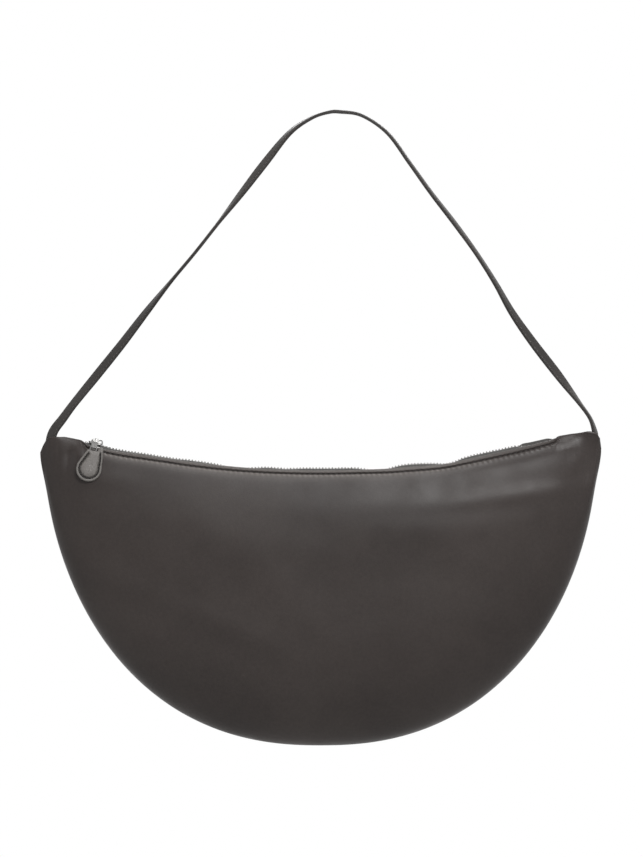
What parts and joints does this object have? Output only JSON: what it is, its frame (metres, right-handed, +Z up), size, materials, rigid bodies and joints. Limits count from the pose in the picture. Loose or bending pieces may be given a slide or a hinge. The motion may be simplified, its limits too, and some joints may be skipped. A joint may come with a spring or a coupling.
{
  "type": "half moon bag",
  "caption": "Half moon shoulder bag in dark grey-brown leather, with a narrow leather strap, a curved metal zip along its mouth and a padded leather zip pull.",
  "frame": {"origin": "underside of the strap at its highest point, where the bag hangs from a shoulder or a hook", "axes": "+X to the right of someone who looks at the front, +Y to the back, +Z up"},
  "size_m": [0.4044, 0.063, 0.4574],
  "materials": {
    "bag_leather": "satin smooth grain",
    "strap_leather": "satin, stitched edges",
    "pull_leather": "fine pebble grain",
    "lining_cloth": "plain weave",
    "stay_tape": "woven",
    "zip_tape": "woven",
    "zip_metal": "bright",
    "slider_metal": "polished"
  },
  "bodies": {
    "strap": {"strap_face": "strap_leather", "strap_core": "stay_tape", "strap_backing": "strap_leather"},
    "bag": {"front_panel": "bag_leather", "front_lining": "lining_cloth", "front_zip_tape": "zip_tape", "front_zip_teeth": "zip_metal", "front_top_stop": "zip_metal", "zip_bottom_stop": "zip_metal", "left_zip_end_cap": "bag_leather", "right_zip_end_cap": "bag_leather", "left_strap_end": "strap_leather", "right_strap_end": "strap_leather", "left_corner_patch": "stay_tape", "right_corner_patch": "stay_tape"},
    "back": {"back_panel": "bag_leather", "back_lining": "lining_cloth", "back_zip_tape": "zip_tape", "back_zip_teeth": "zip_metal", "back_top_stop": "zip_metal"},
    "slider": {"slider_body": "slider_metal", "slider_crown": "slider_metal"},
    "link": {"pull_link": "slider_metal"},
    "tab": {"tab_front_leather": "pull_leather", "tab_back_leather": "pull_leather", "tab_padding": "stay_tape"}
  },
  "joints": [
    {"name": "strap_swing", "type": "hinge", "parent": "strap", "child": "bag", "pos_m": [-0.013, 0, -0.2315], "axis": [1, 0, 0], "range_deg": [-100, 100]},
    {"name": "mouth_open", "type": "hinge", "parent": "bag", "child": "back", "pos_m": [-0.013, 0, -0.4552], "axis": [-1, 0, 0], "range_deg": [0, 8], "deforming": ["back_zip_tape", "back_zip_teeth"]},
    {"name": "zip_slide", "type": "hinge", "parent": "bag", "child": "slider", "pos_m": [-0.013, 0, 0.45473], "axis": [0, -1, 0], "range_deg": [0, 26], "deforming": ["front_zip_teeth"]},
    {"name": "pull_lift", "type": "hinge", "parent": "slider", "child": "link", "pos_m": [-0.17425, 0, -0.23549], "axis": [-0.9738, 0, 0.2275], "range_deg": [0, 140]},
    {"name": "tab_swing", "type": "hinge", "parent": "link", "child": "tab", "pos_m": [-0.17589, -0.0102, -0.2425], "axis": [-0.9738, 0, 0.2275], "range_deg": [0, 60]}
  ],
  "couplings": [
    {"joint": "zip_slide", "follows": "mouth_open", "ratio": 3.25}
  ]
}
